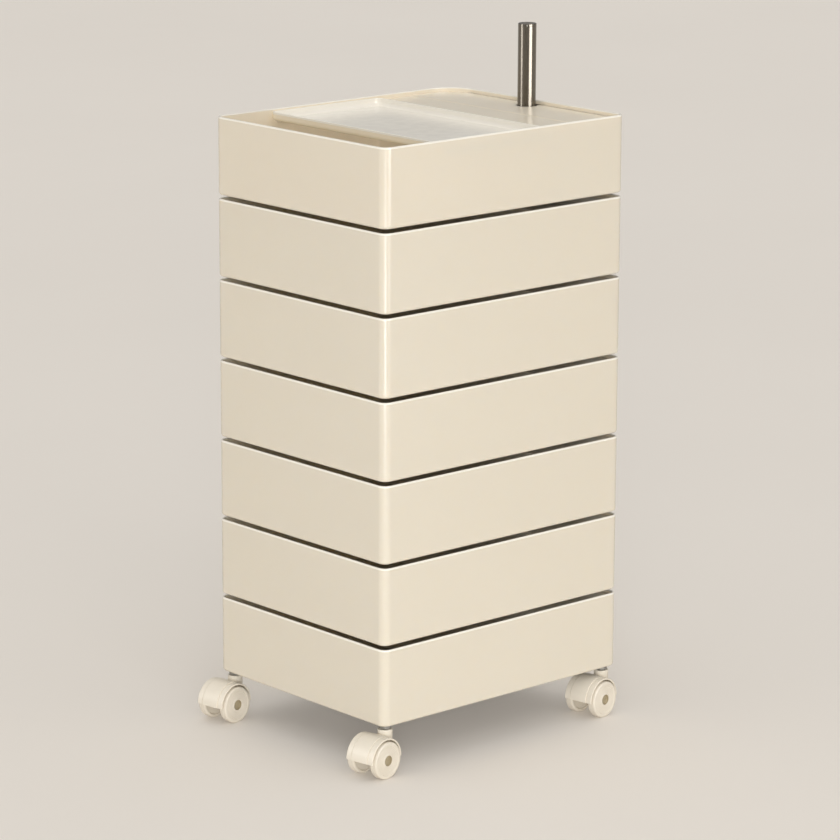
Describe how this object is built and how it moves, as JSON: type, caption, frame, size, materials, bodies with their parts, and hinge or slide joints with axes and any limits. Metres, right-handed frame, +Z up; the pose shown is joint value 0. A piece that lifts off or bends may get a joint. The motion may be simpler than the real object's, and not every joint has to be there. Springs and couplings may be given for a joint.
{
  "type": "swivel-tray drawer tower",
  "caption": "Rolling tower of open moulded trays that swing out about one steel post, with a lift-out pen tray, a flat rear deck and hooded twin-wheel castors.",
  "frame": {"origin": "on the floor, at the middle of the outline seen from above", "axes": "+X along the trays towards the post, +Y across the trays towards the wide corner, +Z up"},
  "size_m": [0.464, 0.3688, 0.936],
  "materials": {
    "tray_plastic": "satin-gloss cream moulding",
    "pen_tray_plastic": "satin-gloss pale cream moulding",
    "castor_plastic": "satin cream moulding",
    "wheel_plastic": "hard cream tread",
    "post_steel": "brushed along its length",
    "chassis_steel": "grey coated sheet steel",
    "fastener_steel": "zinc plated",
    "bush_plastic": "natural acetal"
  },
  "bodies": {
    "base": {"base_tray": "tray_plastic", "base_bush": "bush_plastic", "spacer_ring_1": "bush_plastic", "post": "post_steel", "post_cap": "post_steel", "post_socket": "chassis_steel", "chassis_plate": "chassis_steel", "plate_screws": "fastener_steel", "socket_screws": "fastener_steel", "castor_stems": "fastener_steel", "castor_nuts": "fastener_steel"},
    "tray_2": {"tray_2": "tray_plastic", "lower_bush_2": "bush_plastic", "upper_bush_2": "bush_plastic", "spacer_ring_2": "bush_plastic"},
    "tray_3": {"tray_3": "tray_plastic", "lower_bush_3": "bush_plastic", "upper_bush_3": "bush_plastic", "spacer_ring_3": "bush_plastic"},
    "tray_4": {"tray_4": "tray_plastic", "lower_bush_4": "bush_plastic", "upper_bush_4": "bush_plastic", "spacer_ring_4": "bush_plastic"},
    "tray_5": {"tray_5": "tray_plastic", "lower_bush_5": "bush_plastic", "upper_bush_5": "bush_plastic", "spacer_ring_5": "bush_plastic"},
    "tray_6": {"tray_6": "tray_plastic", "lower_bush_6": "bush_plastic", "upper_bush_6": "bush_plastic", "spacer_ring_6": "bush_plastic"},
    "top_tray": {"top_tray": "tray_plastic", "lower_bush_7": "bush_plastic", "upper_bush_7": "bush_plastic"},
    "pen_tray": {"pen_tray": "pen_tray_plastic"},
    "front_castor": {"front_castor_hood": "castor_plastic", "front_castor_axle": "fastener_steel"},
    "front_castor_wheel_a": {"front_castor_wheel_a": "wheel_plastic"},
    "front_castor_wheel_b": {"front_castor_wheel_b": "wheel_plastic"},
    "right_castor": {"right_castor_hood": "castor_plastic", "right_castor_axle": "fastener_steel"},
    "right_castor_wheel_a": {"right_castor_wheel_a": "wheel_plastic"},
    "right_castor_wheel_b": {"right_castor_wheel_b": "wheel_plastic"},
    "back_castor": {"back_castor_hood": "castor_plastic", "back_castor_axle": "fastener_steel"},
    "back_castor_wheel_a": {"back_castor_wheel_a": "wheel_plastic"},
    "back_castor_wheel_b": {"back_castor_wheel_b": "wheel_plastic"},
    "left_castor": {"left_castor_hood": "castor_plastic", "left_castor_axle": "fastener_steel"},
    "left_castor_wheel_a": {"left_castor_wheel_a": "wheel_plastic"},
    "left_castor_wheel_b": {"left_castor_wheel_b": "wheel_plastic"}
  },
  "joints": [
    {"name": "tray_2_swing", "type": "hinge", "parent": "base", "child": "tray_2", "pos_m": [0.21197, 0.00306, 0.175], "axis": [0, 0, 1], "continuous": true},
    {"name": "tray_3_swing", "type": "hinge", "parent": "base", "child": "tray_3", "pos_m": [0.21197, 0.00306, 0.285], "axis": [0, 0, 1], "continuous": true},
    {"name": "tray_4_swing", "type": "hinge", "parent": "base", "child": "tray_4", "pos_m": [0.21197, 0.00306, 0.395], "axis": [0, 0, 1], "continuous": true},
    {"name": "tray_5_swing", "type": "hinge", "parent": "base", "child": "tray_5", "pos_m": [0.21197, 0.00306, 0.505], "axis": [0, 0, 1], "continuous": true},
    {"name": "tray_6_swing", "type": "hinge", "parent": "base", "child": "tray_6", "pos_m": [0.21197, 0.00306, 0.615], "axis": [0, 0, 1], "continuous": true},
    {"name": "top_tray_swing", "type": "hinge", "parent": "base", "child": "top_tray", "pos_m": [0.21197, 0.00306, 0.725], "axis": [0, 0, 1], "continuous": true},
    {"name": "pen_tray_lift", "type": "slide", "parent": "top_tray", "child": "pen_tray", "axis": [0, 0, 1], "range_m": [0, 0.15]},
    {"name": "front_castor_swivel", "type": "hinge", "parent": "base", "child": "front_castor", "pos_m": [-0.17803, -0.15294, 0.059], "axis": [0, 0, 1], "continuous": true},
    {"name": "front_castor_wheel_a_roll", "type": "hinge", "parent": "front_castor", "child": "front_castor_wheel_a", "pos_m": [-0.19711, -0.17531, 0.025], "axis": [0.1392, -0.9903, 0], "continuous": true},
    {"name": "front_castor_wheel_b_roll", "type": "hinge", "parent": "front_castor", "child": "front_castor_wheel_b", "pos_m": [-0.20253, -0.13669, 0.025], "axis": [0.1392, -0.9903, 0], "continuous": true},
    {"name": "right_castor_swivel", "type": "hinge", "parent": "base", "child": "right_castor", "pos_m": [0.21697, -0.15294, 0.059], "axis": [0, 0, 1], "continuous": true},
    {"name": "right_castor_wheel_a_roll", "type": "hinge", "parent": "right_castor", "child": "right_castor_wheel_a", "pos_m": [0.19789, -0.17531, 0.025], "axis": [0.1392, -0.9903, 0], "continuous": true},
    {"name": "right_castor_wheel_b_roll", "type": "hinge", "parent": "right_castor", "child": "right_castor_wheel_b", "pos_m": [0.19247, -0.13669, 0.025], "axis": [0.1392, -0.9903, 0], "continuous": true},
    {"name": "back_castor_swivel", "type": "hinge", "parent": "base", "child": "back_castor", "pos_m": [0.20818, 0.15027, 0.059], "axis": [0, 0, 1], "continuous": true},
    {"name": "back_castor_wheel_a_roll", "type": "hinge", "parent": "back_castor", "child": "back_castor_wheel_a", "pos_m": [0.18911, 0.1279, 0.025], "axis": [0.1392, -0.9903, 0], "continuous": true},
    {"name": "back_castor_wheel_b_roll", "type": "hinge", "parent": "back_castor", "child": "back_castor_wheel_b", "pos_m": [0.18368, 0.16652, 0.025], "axis": [0.1392, -0.9903, 0], "continuous": true},
    {"name": "left_castor_swivel", "type": "hinge", "parent": "base", "child": "left_castor", "pos_m": [-0.17803, 0.15906, 0.059], "axis": [0, 0, 1], "continuous": true},
    {"name": "left_castor_wheel_a_roll", "type": "hinge", "parent": "left_castor", "child": "left_castor_wheel_a", "pos_m": [-0.19711, 0.13669, 0.025], "axis": [0.1392, -0.9903, 0], "continuous": true},
    {"name": "left_castor_wheel_b_roll", "type": "hinge", "parent": "left_castor", "child": "left_castor_wheel_b", "pos_m": [-0.20253, 0.17531, 0.025], "axis": [0.1392, -0.9903, 0], "continuous": true}
  ]
}
